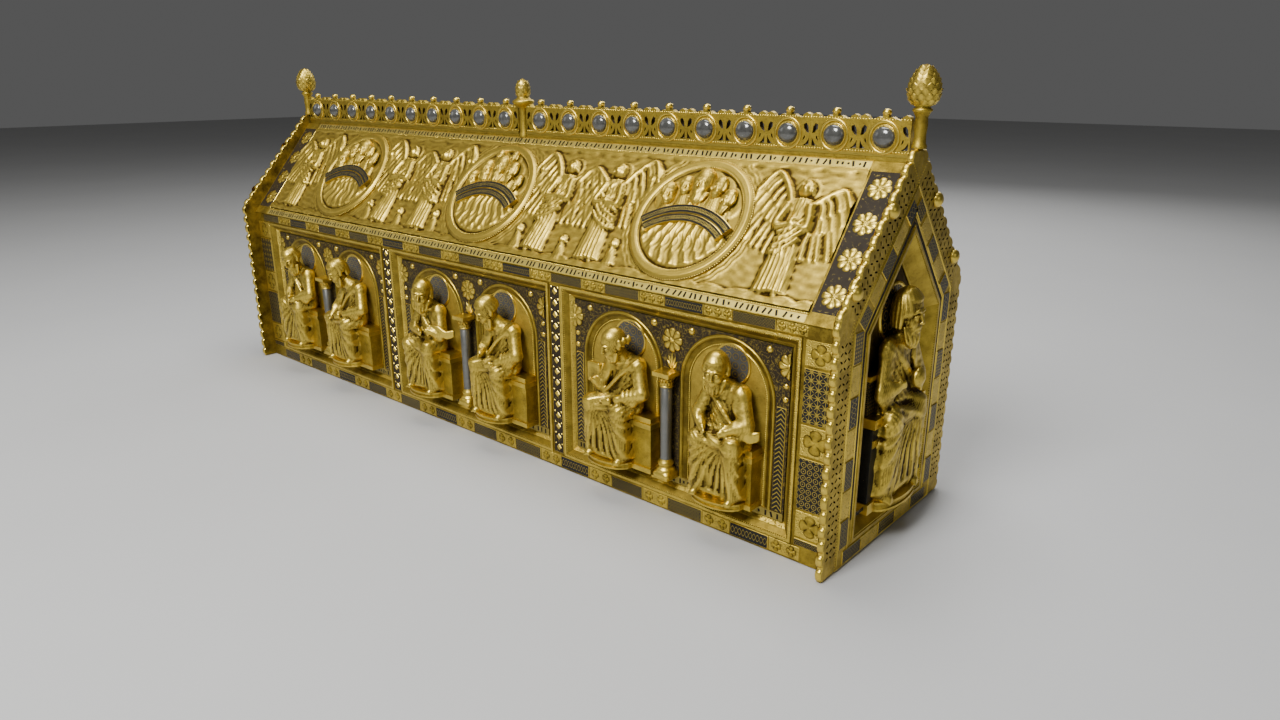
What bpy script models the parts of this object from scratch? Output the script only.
"""House-shaped reliquary casket, about 1.75 m long: an oak chest and a loose gabled roof, both sheathed
in gilt copper. Each long wall has framed bays of two niches with seated figures between columns, each roof
slope has a relief plate with roundels, each gable an enthroned figure, and the ridge a crest with crystals.

Metres, +Z up. The origin is under the middle of the chest, on the surface it stands on. +X runs along the
casket, and the front wall faces -Y.
"""

import math

import bmesh
import bpy
from mathutils import Matrix, Vector

# Body of the casket
LENGTH = 1.750  # over the outer faces of both gable plates
WALL_HALF = 0.185  # centre plane to the face of a long wall
EAVE = 0.396  # height at which the roof rests on the walls
RIDGE = 0.625  # height of the meeting line of both roof slopes
EAVE_DRIP = 0.0035  # how far the roof's lower edge stands past the wall
BOARD = 0.015  # oak of the long walls
END_BOARD = 0.016  # oak of the gable-shaped ends
FLOOR = 0.022
ROOF_BOARD = 0.018
SHEET = 0.002  # gilt copper sheet
GAP = 0.0003  # between pieces that touch
SKIRT = 0.001  # how far the sheets stop above the standing surface

# Gable plates
GABLE_THICK = 0.011
RIM_OUT = 0.030  # how far a gable plate stands past the long walls
RIM_EAVE = 0.018  # how far its shoulder stands above the eave
RIM_TOP = 0.026  # how far its slopes would meet above the ridge
PEAK_HALF = 0.012  # half the width of the flat at its top, which carries a finial
LOBE_PITCH = 0.040
LOBE_RISE = 0.004
GABLE_BAND = 0.086  # edge of the plate to the frame's outer edge, on the sides and slopes
GABLE_BAND_LOW = 0.034
GABLE_BACKING = 0.014  # the thick part of a gable plate, inside the walls
GABLE_CHAMFER = 0.026

# Bays of the long walls
BAYS = 3
POST = 0.0627  # end of the wall to the first bay
STRIP = 0.032  # between two bays
BORDER_LOW = 0.030  # standing surface to the bays
BORDER_HIGH = 0.022  # bays to the eave
BORDER_THICK = 0.018  # of the lattice round the bays
FRAME_PROUD = 0.003
FRAME_RIM = 0.006
FRAME_CHAMFER = 0.018
FRAME_LIP = 0.002
ARCADE_THICK = 0.006
NICHE_FLOOR = 0.0015  # sheet left behind a niche
LEDGE = 0.014  # foot of a bay's field to the foot of its niches
ARCH_MARGIN = 0.005  # top of an arch to the frame
COLUMN_STRIP = 0.040  # between the two niches of a bay
PILASTER = 0.026  # beside the outer niches
ARCH_STEPS = 8

# Columns
SHAFT_RADIUS = 0.0095
BASE_HEIGHT = 0.036
CAPITAL_HEIGHT = 0.028
BLOCK_HALF = 0.018  # half the width of base and capital
COLUMN_SIDES = 8

# Figures
ROBE_FOLDS = 4
FIGURE_FILL = 0.92  # height of a seated figure, as a share of its niche's
FIGURE_SPREAD = 2.74  # breadth that its parts are shares of, against its niche's radius
FIGURE_DEPTH = 0.255  # depth that its parts are shares of
THRONED_FILL = 0.86
THRONED_SPREAD = 3.6
THRONED_DEPTH = 0.205

# Ornament
ROSETTE_RADIUS = 0.022
ROSETTE_RISE = 0.002
PETALS = 8

# Roof slopes
LOWER_BAND = 0.019  # eave to the relief plate
UPPER_BAND = 0.028  # relief plate to the ridge
ROSETTE_STRIP = 0.060
ROUNDELS = 3
ROUNDEL_MARGIN = 0.004  # roundel to the edge of the relief plate
ROUNDEL_RISE = 0.009
ROUNDEL_RIM = 0.018
ROUNDEL_DISH = 0.006
ROUNDEL_STEPS = 16
BAND_BOW = 38  # degrees that the enamel band of a roundel bends each way
BAND_RISE = 0.014
BAND_STEPS = 4
BUST_RISE = 0.018
RELIEF_SHEET = 0.002

# Ridge
CREST_THICK = 0.010
CREST_HEIGHT = 0.058
CREST_KNOB = 0.010
CRYSTALS = 10  # on each half of the crest
CRYSTAL_RADIUS = 0.013
CRYSTAL_OUT = 0.011
FINIAL_SIDES = 8
FINIAL_FOOT = 0.012  # radius of a finial's foot
END_FINIAL_RISE = 0.122
MID_FINIAL_RISE = 0.120

GOLD = (0.83, 0.62, 0.20)
SILVER = (0.55, 0.56, 0.58)
OAK = (0.23, 0.14, 0.08)

# Derived places
CORE_END = LENGTH / 2 - GABLE_THICK - GAP
CORE_HALF = WALL_HALF - BORDER_THICK - GAP
CORE_TOP = EAVE - GAP
END_FACE = CORE_END - GABLE_BACKING - GAP
EAVE_HALF = WALL_HALF + EAVE_DRIP
PITCH = math.atan2(RIDGE - EAVE, EAVE_HALF)
SLOPE_LENGTH = math.hypot(RIDGE - EAVE, EAVE_HALF)
BAY_WIDTH = (2 * (CORE_END - POST) - (BAYS - 1) * STRIP) / BAYS
BAY_TOP = EAVE - BORDER_HIGH
FIELD_HALF = BAY_WIDTH / 2 - FRAME_RIM - FRAME_CHAMFER
FIELD_LOW = BORDER_LOW + FRAME_RIM + FRAME_CHAMFER
FIELD_HIGH = BAY_TOP - FRAME_RIM - FRAME_CHAMFER
ARCH_RADIUS = (FIELD_HALF - COLUMN_STRIP / 2 - PILASTER) / 2
ARCH_CENTRE = COLUMN_STRIP / 2 + ARCH_RADIUS
SPRING = FIELD_HIGH - ARCH_MARGIN - ARCH_RADIUS
NICHE_LOW = FIELD_LOW + LEDGE
NICHE_BACK = -BORDER_THICK + GAP + NICHE_FLOOR
FIGURE_HEIGHT = FIGURE_FILL * (SPRING + ARCH_RADIUS - NICHE_LOW)
FIGURE_SIZE = (FIGURE_SPREAD * ARCH_RADIUS, FIGURE_HEIGHT, FIGURE_DEPTH)
RELIEF_LOW = LOWER_BAND
RELIEF_HIGH = SLOPE_LENGTH - UPPER_BAND
RELIEF_HALF = CORE_END - ROSETTE_STRIP
ROUNDEL_RADIUS = (RELIEF_HIGH - RELIEF_LOW) / 2 - ROUNDEL_MARGIN
ROUNDEL_MIDDLE = (RELIEF_HIGH + RELIEF_LOW) / 2
ROUNDEL_PITCH = 2 * RELIEF_HALF / (ROUNDELS + 0.09)
SHEET_TOP = CREST_THICK / 2 + SHEET  # centre plane to the upper edge of a slope's sheet
PEAK = RIDGE + RIM_TOP - PEAK_HALF * (RIDGE + RIM_TOP - EAVE - RIM_EAVE) / (WALL_HALF + RIM_OUT)

SIDEWAYS = Matrix.Rotation(math.pi / 2, 4, "X")

parts = bpy.data.collections.new("reliquary_casket")
helpers = bpy.data.collections.new("helpers")


def clear_scene():
    for obj in list(bpy.data.objects):
        bpy.data.objects.remove(obj)
    bpy.context.scene.collection.children.link(parts)
    bpy.context.scene.collection.children.link(helpers)


def material(name, colour, roughness, metallic):
    made = bpy.data.materials.new(name)
    made.use_nodes = True
    shader = made.node_tree.nodes["Principled BSDF"]
    shader.inputs["Base Color"].default_value = (*colour, 1)
    shader.inputs["Roughness"].default_value = roughness
    shader.inputs["Metallic"].default_value = metallic
    return made


def face_frame(name, origin, right, up):
    """An empty whose local X runs to the right along a face, Y up it and Z out of it."""
    out = Vector(right).cross(Vector(up))
    frame = bpy.data.objects.new(name, None)
    frame.matrix_world = Matrix.Translation(origin) @ Matrix((right, up, out)).transposed().to_4x4()
    helpers.objects.link(frame)
    return frame


def add(name, mesh, frame=None, finish=None):
    """A shown part if it has a finish, and otherwise a cutter or a shape that joins another."""
    obj = bpy.data.objects.new(name, mesh)
    if finish:
        mesh.materials.append(finish)
        parts.objects.link(obj)
    else:
        obj.hide_render = True
        obj.display_type = "WIRE"
        helpers.objects.link(obj)
    obj.parent = frame
    return obj


def combine(obj, other, operation, within=False):
    """Cuts the other shape from obj or joins it. within also joins the closed shapes inside each of them."""
    cut = obj.modifiers.new(operation.lower(), "BOOLEAN")
    cut.use_self = within
    cut.operation = operation
    cut.object = other
    cut.solver = "EXACT"


def mesh_from(bm, name):
    bmesh.ops.recalc_face_normals(bm, faces=bm.faces)
    mesh = bpy.data.meshes.new(name)
    bm.to_mesh(mesh)
    bm.free()
    return mesh


def block(bm, low, high):
    """A box between two corners, added to bm."""
    size = Vector(high) - Vector(low)
    place = Matrix.Translation((Vector(high) + Vector(low)) / 2) @ Matrix.Diagonal((*size, 1))
    bmesh.ops.create_cube(bm, size=1, matrix=place)


def ball(bm, centre, radii, segments=6, rings=4, turn=None):
    place = Matrix.Translation(centre) @ Matrix.Diagonal((*radii, 1)) @ (turn or Matrix.Identity(4))
    bmesh.ops.create_uvsphere(bm, u_segments=segments, v_segments=rings, radius=1, matrix=place)


def plate(name, outlines, low, high):
    """The mesh of a flat plate between two heights: the first outline is its edge, the others its holes."""
    curve = bpy.data.curves.new(name, "CURVE")
    curve.dimensions = "2D"
    curve.fill_mode = "BOTH"
    curve.extrude = (high - low) / 2
    for outline in outlines:
        spline = curve.splines.new("POLY")
        spline.points.add(len(outline) - 1)
        for point, (x, y) in zip(spline.points, outline):
            point.co = (x, y, 0, 1)
        spline.use_cyclic_u = True
    guide = bpy.data.objects.new(name, curve)
    helpers.objects.link(guide)
    mesh = bpy.data.meshes.new_from_object(guide.evaluated_get(bpy.context.evaluated_depsgraph_get()))
    bpy.data.objects.remove(guide)
    bm = bmesh.new()
    bm.from_mesh(mesh)
    bmesh.ops.remove_doubles(bm, verts=bm.verts, dist=0.00002)
    bmesh.ops.translate(bm, verts=bm.verts, vec=(0, 0, (high + low) / 2))
    bmesh.ops.recalc_face_normals(bm, faces=bm.faces)
    bm.to_mesh(mesh)
    bm.free()
    mesh.name = name
    return mesh


def joined(name, meshes):
    """One mesh of several that don't meet."""
    bm = bmesh.new()
    for mesh in meshes:
        bm.from_mesh(mesh)
    return mesh_from(bm, name)


def loft(bm, rings, capped=True):
    """Faces between rings of as many points each. Uncapped, the last ring meets the first, as in a frame."""
    rows = [[bm.verts.new(point) for point in ring] for ring in rings]
    count = len(rows[0])
    pairs = list(zip(rows, rows[1:])) if capped else list(zip(rows, rows[1:] + rows[:1]))
    for lower, upper in pairs:
        for i in range(count):
            j = (i + 1) % count
            bm.faces.new((lower[i], lower[j], upper[j], upper[i]))
    if capped:
        bm.faces.new(rows[0][::-1])
        bm.faces.new(rows[-1])


def rectangle(half, low, high, shrink=0.0, middle=0.0):
    left, right = middle - half + shrink, middle + half - shrink
    return [(left, low + shrink), (right, low + shrink), (right, high - shrink), (left, high - shrink)]


def house(half, low, shoulder, top, side=0.0, foot=0.0, slope=0.0):
    """A gable's outline, inset by side, foot and slope from its vertical edges, its foot and its slopes."""
    rise = (top - shoulder) / half
    inner_half = half - side
    inner_top = top - slope * math.hypot(1, rise)
    inner_shoulder = inner_top - rise * inner_half
    return [(-inner_half, low + foot), (inner_half, low + foot), (inner_half, inner_shoulder),
            (0, inner_top), (-inner_half, inner_shoulder)]


def shrunk_house(outline, inset):
    """A gable's outline made smaller by the same inset all round."""
    (_, low), (half, _), (_, shoulder), (_, top), _ = outline
    return house(half, low, shoulder, top, side=inset, foot=inset, slope=inset)


def lobed(outline, skip_edges):
    """The outline with small round lobes along its edges, apart from those that skip_edges counts."""
    points = []
    for i, start in enumerate(outline):
        start, end = Vector(start), Vector(outline[(i + 1) % len(outline)])
        points.append(tuple(start))
        if i in skip_edges:
            continue
        along = end - start
        out = Vector((along.y, -along.x)).normalized()
        count = max(1, round(along.length / LOBE_PITCH))
        for k in range(count):
            for share, rise in ((0.5, 1.0), (1.0, 0.0)):
                if k == count - 1 and share == 1.0:
                    continue
                points.append(tuple(start + along * (k + share) / count + out * rise * LOBE_RISE))
    return points


def arch(centre, radius, low, spring):
    """The outline of a round-headed niche."""
    head = [(centre + radius * math.cos(math.pi * k / ARCH_STEPS),
             spring + radius * math.sin(math.pi * k / ARCH_STEPS)) for k in range(ARCH_STEPS + 1)]
    return [(centre - radius, low), (centre + radius, low), *head]


def rosette(centre, radius, limit=None):
    """The outline of a flower of eight round petals, cut off at x = ±limit where one is given."""
    points = []
    for k in range(2 * PETALS):
        reach = radius * (0.74 if k % 2 else 1.0)
        angle = math.pi * (k + 0.5) / PETALS
        x = centre[0] + reach * math.cos(angle)
        if limit is not None:
            x = max(-limit, min(limit, x))
        points.append((x, centre[1] + reach * math.sin(angle)))
    kept = [p for p, q in zip(points, points[1:] + points[:1]) if abs(p[0] - q[0]) + abs(p[1] - q[1]) > 1e-6]
    edge = [p for p in kept if limit is None or abs(abs(p[0]) - limit) > 1e-6]
    if len(edge) < len(kept):
        cut = [p for p in kept if p not in edge]
        ends = (min(cut, key=lambda p: p[1]), max(cut, key=lambda p: p[1]))
        kept = [p for p in kept if p in edge or p in ends]
    return kept


def end_outline():
    """The outline of an oak end board: as wide as the chest, with slopes that carry the roof boards."""
    inset = ROOF_BOARD + SHEET + 3 * GAP
    top = RIDGE - inset / math.cos(PITCH)
    half = min(CORE_HALF, (top - CORE_TOP) / math.tan(PITCH))
    return [(-CORE_HALF, 0), (CORE_HALF, 0), (CORE_HALF, CORE_TOP), (half, CORE_TOP), (0, top), (-half, CORE_TOP),
            (-CORE_HALF, CORE_TOP)]


def chest(finish):
    """Oak chest of five boards, open under the roof."""
    inner, end = CORE_HALF - BOARD, END_FACE - END_BOARD - GAP
    walls = {"chest_floor": ((-end, -inner + GAP, 0), (end, inner - GAP, FLOOR)),
             "chest_front_wall": ((-end, -CORE_HALF, 0), (end, -inner, CORE_TOP)),
             "chest_back_wall": ((-end, inner, 0), (end, CORE_HALF, CORE_TOP))}
    for name, (low, high) in walls.items():
        bm = bmesh.new()
        block(bm, low, high)
        add(name, mesh_from(bm, name), finish=finish)
    for side, way in (("left", -1), ("right", 1)):
        bm = bmesh.new()
        loft(bm, [[(way * x, y, z) for y, z in end_outline()] for x in (END_FACE - END_BOARD, END_FACE)])
        name = f"chest_{side}_end"
        add(name, mesh_from(bm, name), finish=finish)


def roof(finish):
    """Oak roof boards, which rest on the walls and on the slopes of the ends. Returns the height of their top."""
    outer, inner = SHEET + GAP, SHEET + GAP + ROOF_BOARD
    lift, steep = 1 / math.cos(PITCH), math.tan(PITCH)
    flat = CREST_THICK / 2 + GAP
    top, low_top = RIDGE - outer * lift, RIDGE - inner * lift
    shelf = top - flat * steep
    section = [((top - EAVE) / steep, EAVE), ((low_top - EAVE) / steep, EAVE), (GAP / 2, low_top - GAP / 2 * steep),
               (GAP / 2, shelf), (flat, shelf)]
    for side, way in (("front", -1), ("back", 1)):
        bm = bmesh.new()
        loft(bm, [[(x, way * y, z) for y, z in section] for x in (-CORE_END, CORE_END)])
        name = f"{side}_roof_board"
        add(name, mesh_from(bm, name), finish=finish)
    return shelf


def bay_middles():
    return [(k - (BAYS - 1) / 2) * (BAY_WIDTH + STRIP) for k in range(BAYS)]


def gable_outline():
    return house(WALL_HALF + RIM_OUT, SKIRT, EAVE + RIM_EAVE, RIDGE + RIM_TOP)


def gable_frame_outline():
    (_, low), (half, _), (_, shoulder), (_, top), _ = gable_outline()
    return house(half, low, shoulder, top, side=GABLE_BAND, foot=GABLE_BAND_LOW, slope=GABLE_BAND)


def wall_border(side, frame, finish):
    """The lattice round the bays of a long wall, which carries the enamel plaques."""
    outlines = [rectangle(CORE_END, SKIRT, CORE_TOP)]
    outlines += [rectangle(BAY_WIDTH / 2, BORDER_LOW, BAY_TOP, middle=m) for m in bay_middles()]
    add(f"{side}_border", plate(f"{side}_border", outlines, -BORDER_THICK + GAP, 0), frame, finish)


def chamfered_frame(name, outline_at, depth, chamfer, frame, finish, tray=False):
    """A picture frame of a flat rim and a chamfer down to its field. A tray has a floor, the field itself.
    outline_at gives the outline at an inset from the window that the frame stands in."""
    low = -depth + GAP
    steps = [(GAP, low), (GAP, FRAME_PROUD), (FRAME_RIM, FRAME_PROUD), (FRAME_RIM + chamfer, low + FRAME_LIP)]
    if not tray:
        steps.append((FRAME_RIM + chamfer, low))
    bm = bmesh.new()
    loft(bm, [[(x, y, height) for x, y in outline_at(inset)] for inset, height in steps], capped=tray)
    add(name, mesh_from(bm, name), frame, finish)


def bay_arcade(name, middle, frame, finish, plain):
    """The plate of a bay: two sunk niches and rosettes between and beside their heads."""
    low = -BORDER_THICK + GAP
    face = low + ARCADE_THICK
    half = FIELD_HALF - GAP
    outline = rectangle(half, FIELD_LOW + GAP, FIELD_HIGH - GAP)
    body = add(name, plate(name, [outline], low, face), frame, finish)
    body.location.x = middle
    niches = [plate(f"{name}_niche", [arch(side * ARCH_CENTRE, ARCH_RADIUS, NICHE_LOW, SPRING)],
                    NICHE_BACK, face + SHEET) for side in (-1, 1)]
    cutter = add(f"{name}_niches", joined(f"{name}_niches", niches), frame)
    cutter.location.x = middle
    combine(body, cutter, "DIFFERENCE")
    if plain:
        return
    height = FIELD_HIGH - 1.45 * ROSETTE_RADIUS
    edge = half - GAP
    places = [0.0, -edge, edge]
    flowers = [plate(f"{name}_rosette", [rosette((x, height), ROSETTE_RADIUS, edge)], low + SHEET,
                     face + ROSETTE_RISE) for x in places]
    boss = add(f"{name}_rosettes", joined(f"{name}_rosettes", flowers), frame)
    boss.location.x = middle
    combine(body, boss, "UNION")


def column(name, middle, frame, finish):
    """A column between two niches: stepped base, round shaft and a capital with a flared bell."""
    start = -BORDER_THICK + 2 * GAP + ARCADE_THICK
    axis = start + BLOCK_HALF * 0.8
    shaft_low, shaft_high = NICHE_LOW + BASE_HEIGHT, SPRING - CAPITAL_HEIGHT / 2
    top = SPRING + CAPITAL_HEIGHT / 2
    back = axis - start
    slim = SHAFT_RADIUS / BLOCK_HALF
    profile = [(NICHE_LOW + GAP, 1.0), (NICHE_LOW + 0.35 * BASE_HEIGHT, 1.0), (shaft_low, slim),
               (shaft_high, slim), (top - 0.3 * CAPITAL_HEIGHT, 1.0), (top, 1.0)]
    rings = []
    for height, share in profile:
        reach = BLOCK_HALF * share
        square = share > 0.6
        ring = []
        for k in range(COLUMN_SIDES):
            angle = 2 * math.pi * (k + 0.5) / COLUMN_SIDES
            grow = reach * (1.22 if square else 1.0)
            x = max(-reach, min(reach, grow * math.cos(angle)))
            z = max(-back, min(reach, grow * math.sin(angle)))
            ring.append((x, height, axis + z))
        rings.append(ring)
    bm = bmesh.new()
    loft(bm, rings)
    obj = add(name, mesh_from(bm, name), frame, finish)
    obj.location.x = middle


def robe(bm, pose):
    """The clothed body of a seated figure one unit tall, as rings from the hem over the knees to the neck."""
    knees, hips, chest_at, head = pose["knees"], pose["hips"], pose["chest"], pose["head"]
    levels = [  # height, middle, half width, reach from the wall, depth of the folds
        (0.04, knees, 0.19, 0.215, 0.08), (0.25, knees, 0.165, 0.225, 0.08), (0.42, knees, 0.19, 0.25, 0.03),
        (0.50, hips, 0.16, 0.18, 0.0), (0.76, chest_at, 0.16, 0.15, 0.02),
        (0.84, (chest_at + 2 * head) / 3, 0.06, 0.17, 0.0)]
    rings = []
    for height, middle, half, reach, fold in levels:
        front = []
        for k in range(ROBE_FOLDS):
            angle = math.pi * (k + 0.5) / ROBE_FOLDS
            wave = 1 + fold * (1 if k % 2 else -1)
            front.append((middle + half * math.cos(angle), height, reach * wave * math.sin(angle) ** 0.6))
        rings.append([(middle - half, height, -0.03), (middle + half, height, -0.03), *front])
    loft(bm, rings)


def arm(bm, shoulder, elbow, hand):
    """A sleeved arm, as square rings at the shoulder, the elbow and the hand."""
    rings = []
    for (x, y, z), size in ((shoulder, 0.05), (elbow, 0.045), (hand, 0.03)):
        rings.append([(x - size, y - size, z - size), (x + size, y - size, z - 0.3 * size),
                      (x + size, y + size, z + size), (x - size, y + size, z + 0.3 * size)])
    loft(bm, rings)


def seated_figure(name, pose, size, place, floor, frame, finish):
    """A clothed figure on a bench with a footrest, in high relief on a flat back. size is its breadth, height
    and depth, of which its parts are shares."""
    breadth, height, depth = size
    bm = bmesh.new()
    robe(bm, pose)
    knees, chest_at, head = pose["knees"], pose["chest"], pose["head"]
    seat = pose["hips"] + 0.05 * pose["bench"]
    steps = [(0, -0.05), (0, 0.25), (0.045, 0.25), (0.045, 0.13), (0.41, 0.13), (0.41, -0.05)]
    loft(bm, [[(x, y, z) for y, z in steps] for x in (seat - 0.25, seat + 0.25)])
    ball(bm, (head, 0.905, 0.185), (0.088, 0.105, 0.095), segments=6, rings=3, turn=SIDEWAYS)
    for hand, way in ((pose["left_hand"], -1), (pose["right_hand"], 1)):
        if pose["item"] == "hidden hands":
            continue
        arm(bm, (chest_at + way * 0.115, 0.75, 0.09), (chest_at + way * 0.175, 0.57, 0.13), hand)
    x, y, z = pose["left_hand"] if pose["item"] == "book" else pose["right_hand"]
    if pose["item"] == "book":
        block(bm, (x - 0.08, y - 0.02, z - 0.07), (x + 0.05, y + 0.12, z - 0.01))
    elif pose["item"] == "scroll":
        block(bm, (x - 0.02, y - 0.025, -0.02), (x + 0.19, y + 0.035, z - 0.02))
    elif pose["item"] == "orb":
        ball(bm, (x - 0.03, y + 0.04, z), (0.055, 0.055, 0.055), segments=6, rings=4)
    bmesh.ops.scale(bm, verts=bm.verts, vec=size)
    body = add(name, mesh_from(bm, name), frame, finish)
    body.location = (*place, floor)
    bm = bmesh.new()
    block(bm, (-breadth, -height, -depth), (breadth, 2 * height, 0))
    back = add(f"{name}_back", mesh_from(bm, name), frame)
    back.location = (*place, floor)
    combine(body, back, "DIFFERENCE", within=True)


POSES = [  # shares of the figure's height, and hands as across, up and out
    dict(knees=-0.06, hips=0.0, chest=0.02, head=0.03, bench=1, item="none",
         left_hand=(-0.06, 0.5, 0.24), right_hand=(0.05, 0.52, 0.25)),
    dict(knees=-0.08, hips=0.02, chest=0.05, head=-0.02, bench=1, item="none",
         left_hand=(-0.14, 0.48, 0.25), right_hand=(0.0, 0.5, 0.26)),
    dict(knees=-0.06, hips=-0.02, chest=0.0, head=0.03, bench=1, item="scroll",
         left_hand=(-0.03, 0.57, 0.22), right_hand=(0.13, 0.58, 0.21)),
    dict(knees=-0.05, hips=0.03, chest=0.05, head=-0.02, bench=1, item="none",
         left_hand=(-0.1, 0.56, 0.24), right_hand=(0.03, 0.5, 0.25)),
    dict(knees=-0.02, hips=0.05, chest=0.08, head=0.06, bench=1, item="book",
         left_hand=(-0.13, 0.62, 0.2), right_hand=(0.06, 0.5, 0.25)),
    dict(knees=0.04, hips=0.04, chest=0.05, head=0.03, bench=0, item="scroll",
         left_hand=(-0.04, 0.53, 0.23), right_hand=(0.13, 0.53, 0.22)),
]
THRONED = dict(knees=0.0, hips=0.0, chest=0.0, head=0.0, bench=0, item="orb",
               left_hand=(-0.12, 0.6, 0.2), right_hand=(0.12, 0.56, 0.22))


def long_wall(side, frame, gilt, silver):
    """Everything on one long wall: border sheet, frames, arcades, columns and seated figures."""
    wall_border(side, frame, gilt)
    for bay, middle in enumerate(bay_middles(), 1):
        chamfered_frame(f"{side}_frame_{bay}",
                        lambda inset, m=middle: rectangle(BAY_WIDTH / 2, BORDER_LOW, BAY_TOP, inset, m),
                        BORDER_THICK, FRAME_CHAMFER - GAP, frame, gilt)
        bay_arcade(f"{side}_arcade_{bay}", middle, frame, gilt, side == "back")
        column(f"{side}_column_{bay}", middle, frame, silver)
        for niche, way in enumerate((-1, 1)):
            number = 2 * (bay - 1) + niche
            pose = POSES[number] if side == "front" else dict(POSES[number], item="hidden hands")
            seated_figure(f"{side}_figure_{number + 1}", pose, FIGURE_SIZE, (middle + way * ARCH_CENTRE, NICHE_LOW + GAP),
                          NICHE_BACK + GAP, frame, gilt)


def slope_border(side, frame, finish):
    """The sheet round a roof slope's relief: the written bands and the dark end strips with rosettes."""
    outer = rectangle(CORE_END, 0, SLOPE_LENGTH - SHEET_TOP / math.cos(PITCH))
    window = rectangle(RELIEF_HALF, RELIEF_LOW, RELIEF_HIGH)
    name = f"{side}_roof_border"
    body = add(name, plate(name, [outer, window], -SHEET, 0), frame, finish)
    if side == "back":
        return
    step = (RELIEF_HIGH - RELIEF_LOW) / 4
    middle = (CORE_END + RELIEF_HALF) / 2
    flowers = [plate(f"{name}_rosette", [rosette((way * middle, RELIEF_LOW + (k + 0.5) * step),
                                                 ROSETTE_RADIUS)], -SHEET / 2, ROSETTE_RISE)
               for way in (-1, 1) for k in range(4)]
    combine(body, add(f"{name}_rosettes", joined(name, flowers), frame), "UNION")


def roundel_middles():
    return [(k - (ROUNDELS - 1) / 2) * ROUNDEL_PITCH for k in range(ROUNDELS)]


def angel(bm, foot, height, reach, lean, way):
    """A standing winged figure in low relief: robe, head and two raised wings, whose tips are at reach."""
    x, y = foot
    wide = reach / 0.35
    rings = []
    for share, half, rise in ((0.0, 0.16, 0.04), (0.78, 0.11, 0.06)):
        rings.append([(x + (lean * share + k * half) * wide, y + share * height, z * height)
                      for k, z in ((-1, -0.008), (-0.4, rise), (0.4, rise), (1, -0.008))])
    loft(bm, rings)
    ball(bm, (x + lean * 0.9 * wide, y + 0.88 * height, 0.03 * height),
         (0.075 * wide, 0.085 * height, 0.035 * height), segments=5, rings=3)
    for wing in (-1, 1):
        raised = 0.12 if wing == way else 0
        outline = [(0.04, 0.62), (0.19, 0.3 + raised), (0.35, 0.66 + raised), (0.22, 1.0), (0.05, 0.8)]
        feathers = [(x + (lean * 0.7 + wing * across) * wide, y + up * height) for across, up in outline]
        loft(bm, [[(*point, z * height) for point in feathers] for z in (-0.007, 0.028)])


def slope_relief(side, frame, finish):
    """The embossed plate of a roof slope, with holes for its roundels, angels and ground between them."""
    name = f"{side}_relief"
    outline = rectangle(RELIEF_HALF, RELIEF_LOW, RELIEF_HIGH, GAP)
    steps = ROUNDEL_STEPS
    holes = [[(m + (ROUNDEL_RADIUS + GAP) / math.cos(math.pi / steps) * math.cos(2 * math.pi * k / steps),
               ROUNDEL_MIDDLE + (ROUNDEL_RADIUS + GAP) / math.cos(math.pi / steps)
               * math.sin(2 * math.pi * k / steps)) for k in range(steps)] for m in roundel_middles()]
    body = add(name, plate(name, [outline, *holes], -RELIEF_SHEET, 0), frame, finish)
    height = RELIEF_HIGH - RELIEF_LOW
    foot = RELIEF_LOW + 0.1 * height
    room = ROUNDEL_PITCH / 2 - ROUNDEL_RADIUS
    last = roundel_middles()[-1] + ROUNDEL_RADIUS
    end_middle, end_room = (RELIEF_HALF + last) / 2, (RELIEF_HALF - last) / 2
    between = [m + ROUNDEL_PITCH / 2 for m in roundel_middles()[:-1]]
    if side == "front":
        places = [(-end_middle, 0.86 * end_room, 0.05, 1), (end_middle, 0.86 * end_room, -0.05, -1)]
        places += [(m + 0.49 * room * turn, 0.49 * room, -0.08 * turn, turn) for m in between for turn in (-1, 1)]
    else:
        places = [(m, 0.5 * room, 0, 1) for m in between]
    bm = bmesh.new()
    for x, reach, lean, way in places:
        angel(bm, (x, foot), 0.8 * height, reach, lean, way)
    combine(body, add(f"{name}_angels", mesh_from(bm, name), frame), "UNION", within=True)


def ridged(bm, low, high, low_half, high_half, rises, floor):
    """Drapery on a disc: a slab whose face has the given rises from left to right, wider at one end."""
    rings = []
    for y, half in ((low, low_half), (high, high_half)):
        places = [2 * half * k / (len(rises) - 1) - half for k in range(len(rises))]
        rings.append([(-half, y, floor), *[(x, y, z) for x, z in zip(places, rises)], (half, y, floor)])
    loft(bm, rings)


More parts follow.
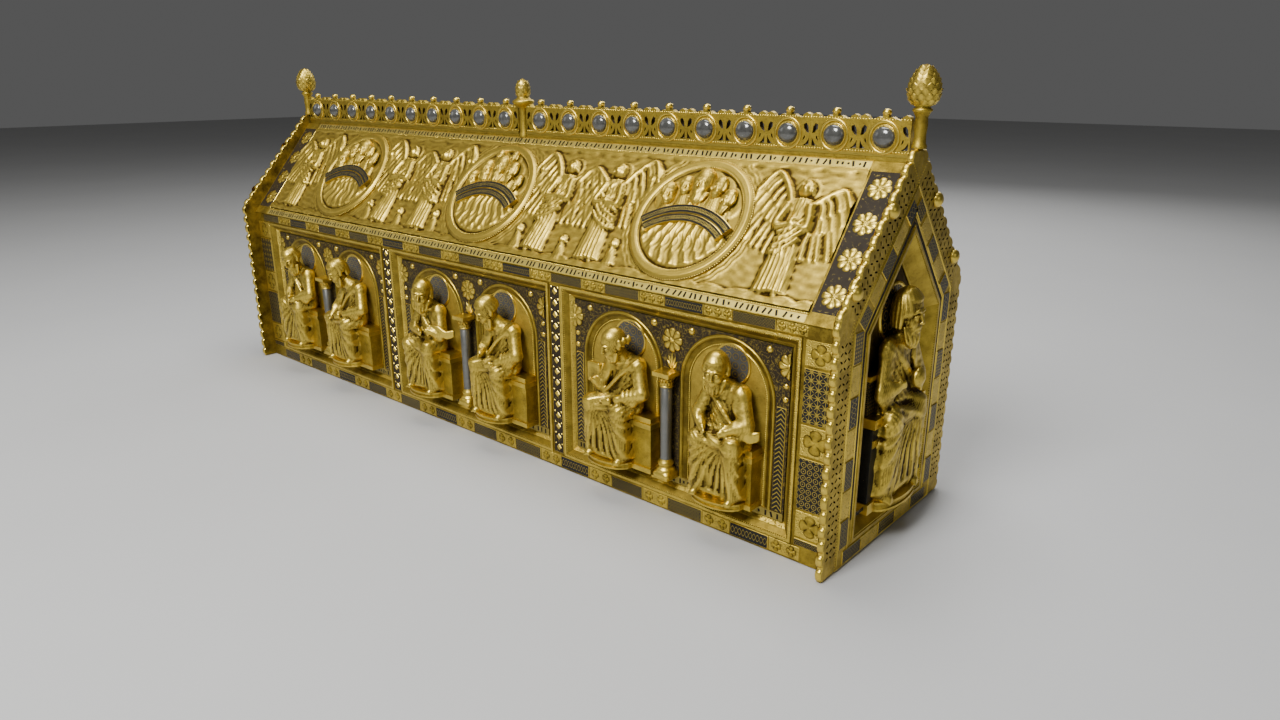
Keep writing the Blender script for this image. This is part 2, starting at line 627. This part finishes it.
def roundel(name, middle, frame, finish):
    """A dished disc with a raised rim. In it a bowed band crosses a group of clothed busts."""
    inner = ROUNDEL_RADIUS - ROUNDEL_RIM
    floor = ROUNDEL_RISE - ROUNDEL_DISH
    levels = [(ROUNDEL_RADIUS, -SHEET), (ROUNDEL_RADIUS, 0.7 * ROUNDEL_RISE), (inner, ROUNDEL_RISE), (inner, floor)]
    turns = [2 * math.pi * k / ROUNDEL_STEPS for k in range(ROUNDEL_STEPS)]
    bm = bmesh.new()
    loft(bm, [[(r * math.cos(a), r * math.sin(a), z) for a in turns] for r, z in levels])
    body = add(name, mesh_from(bm, name), frame, finish)
    rings = []
    deep = floor - SHEET / 2
    for k in range(BAND_STEPS + 1):
        angle = math.radians(BAND_BOW * (2 * k / BAND_STEPS - 1))
        rings.append([(1.15 * r * inner * math.sin(angle), (r * math.cos(angle) - 0.95) * inner, z)
                      for r, z in ((1.0, deep), (1.0, BAND_RISE), (0.8, BAND_RISE), (0.8, deep))])
    bm = bmesh.new()
    loft(bm, rings)
    high, dip = 0.8 * BUST_RISE, 0.35 * BUST_RISE
    ridged(bm, -0.1 * inner, 0.42 * inner, 0.74 * inner, 0.5 * inner, (dip, high, dip, 1.1 * high, dip, high, dip), deep)
    ridged(bm, -0.82 * inner, -0.12 * inner, 0.46 * inner, 0.34 * inner, (dip, high, dip, high, dip), deep)
    for x, y, size in BUSTS:
        thick = 0.65 * BUST_RISE
        ball(bm, (x * inner, y * inner, floor + thick / 2), (size * inner, 1.2 * size * inner, thick),
             segments=6, rings=3, turn=SIDEWAYS)
    other = add(f"{name}_group", mesh_from(bm, name), frame)
    combine(body, other, "UNION", within=True)
    for obj in (body, other):
        obj.location = (middle, ROUNDEL_MIDDLE, 0)


BUSTS = [(-0.36, 0.42, 0.14), (0.0, 0.58, 0.18), (0.36, 0.42, 0.14)]


def roof_slope(side, frame, gilt):
    slope_border(side, frame, gilt)
    slope_relief(side, frame, gilt)
    for number, middle in enumerate(roundel_middles(), 1):
        roundel(f"{side}_roundel_{number}", middle, frame, gilt)


def gable(side, frame, gilt):
    """One end: lobed plate with a thick backing, tray-like frame in its window and enthroned figure."""
    outline, window = gable_outline(), gable_frame_outline()
    outline[3:4] = [(PEAK_HALF, PEAK), (-PEAK_HALF, PEAK)]
    name = f"{side}_gable_plate"
    body = add(name, plate(name, [lobed(outline, {0, 3})], -GABLE_THICK, 0), frame, gilt)
    depth = GABLE_THICK + GAP + GABLE_BACKING
    backing = [(y, max(z, SKIRT)) for y, z in end_outline()]
    other = plate(f"{name}_backing", [backing], -depth, -GABLE_THICK / 2)
    combine(body, add(f"{name}_backing", other, frame), "UNION")
    hole = plate(f"{name}_window", [window], -2 * depth, depth)
    combine(body, add(f"{name}_window", hole, frame), "DIFFERENCE")
    chamfered_frame(f"{side}_gable_frame", lambda inset: shrunk_house(window, inset), depth, GABLE_CHAMFER, frame,
                    gilt, tray=True)
    field = shrunk_house(window, FRAME_RIM + GABLE_CHAMFER)
    foot, top = field[0][1], field[3][1]
    size = (THRONED_SPREAD * field[1][0], THRONED_FILL * (top - foot), THRONED_DEPTH)
    seated_figure(f"{side}_gable_figure", THRONED, size, (0, foot + GAP), -depth + FRAME_LIP + 2 * GAP, frame, gilt)


def crest(name, start, end, base, finish):
    """A half of the ridge crest: an upright plate with a scalloped, knobbed edge and oval crystals."""
    pitch = (end - start) / CRYSTALS
    top = RIDGE + CREST_HEIGHT
    outline = [(start, base), (end, base), (end, top)]
    for k in reversed(range(CRYSTALS)):
        middle = start + (k + 0.5) * pitch
        outline += [(middle + across * pitch, top + up * CREST_KNOB) for across, up in
                    ((0.3, 0), (0.13, -0.5), (0, 1), (-0.13, -0.5), (-0.3, 0))]
    outline.append((start, top))
    frame = bpy.data.objects["ridge_upright"]
    body = add(name, plate(name, [outline], -CREST_THICK / 2, CREST_THICK / 2), frame, finish)
    bm = bmesh.new()
    wide = CRYSTAL_RADIUS * CRYSTAL_OUT / (CRYSTAL_OUT - CREST_THICK / 2)
    for k in range(CRYSTALS):
        ball(bm, (start + (k + 0.5) * pitch, RIDGE + 0.46 * CREST_HEIGHT, 0), (wide, wide, CRYSTAL_OUT),
             segments=6, rings=2)
    combine(body, add(f"{name}_crystals", mesh_from(bm, name), frame), "UNION")


def finial(name, middle, base, rise, profile, finish):
    """A turned knop on the ridge. The profile is (radius, height) pairs, from its foot to its tip."""
    bm = bmesh.new()
    points = [bm.verts.new((radius, 0, height * rise)) for radius, height in reversed(profile)]
    for upper, lower in zip(points, points[1:]):
        bm.edges.new((upper, lower))
    mesh = bpy.data.meshes.new(name)
    bm.to_mesh(mesh)
    bm.free()
    body = add(name, mesh, finish=finish)
    turn = body.modifiers.new("turned", "SCREW")
    turn.steps = turn.render_steps = FINIAL_SIDES
    turn.use_merge_vertices = True
    turn.merge_threshold = 0.0001
    body.location = (middle, 0, base)


END_PROFILE = [(0, 0), (FINIAL_FOOT, 0), (0.0105, 0.08), (0.0105, 0.45), (0.022, 0.56), (0.027, 0.68),
               (0.021, 0.87), (0, 1)]
MID_PROFILE = [(0, 0), (FINIAL_FOOT, 0), (0.0105, 0.08), (0.0105, 0.56), (0.0235, 0.6), (0.0235, 0.66),
               (0.014, 0.72), (0.016, 0.86), (0, 1)]


def main():
    clear_scene()
    gilt = material("gilt", GOLD, 0.35, 1.0)
    silver = material("silver", SILVER, 0.4, 1.0)
    oak = material("oak", OAK, 0.7, 0.0)
    chest(oak)
    shelf = roof(oak)
    cos, sin = math.cos(PITCH), math.sin(PITCH)
    ways = {"front": (0, -WALL_HALF, 0), "back": (0, WALL_HALF, 0)}
    for side, origin in ways.items():
        way = 1 if side == "front" else -1
        wall = face_frame(f"{side}_wall", origin, (way, 0, 0), (0, 0, 1))
        slope = face_frame(f"{side}_slope", (0, -way * EAVE_HALF, EAVE), (way, 0, 0), (0, way * cos, sin))
        long_wall(side, wall, gilt, silver)
        roof_slope(side, slope, gilt)
    for side, way in (("right", 1), ("left", -1)):
        gable(side, face_frame(f"{side}_end", (way * LENGTH / 2, 0, 0), (0, way, 0), (0, 0, 1)), gilt)
    face_frame("ridge_upright", (0, 0, 0), (1, 0, 0), (0, 0, 1))
    end_axis = (LENGTH - GABLE_THICK) / 2
    start, end = FINIAL_FOOT + GAP, end_axis - FINIAL_FOOT - GAP
    crest("crest_right", start, end, shelf + GAP, gilt)
    crest("crest_left", -end, -start, shelf + GAP, gilt)
    for name, middle in (("finial_left", -end_axis), ("finial_right", end_axis)):
        finial(name, middle, PEAK + GAP, END_FINIAL_RISE, END_PROFILE, gilt)
    foot = RIDGE - SHEET_TOP * math.tan(PITCH) + GAP
    finial("finial_middle", 0, foot, MID_FINIAL_RISE, MID_PROFILE, gilt)


main()
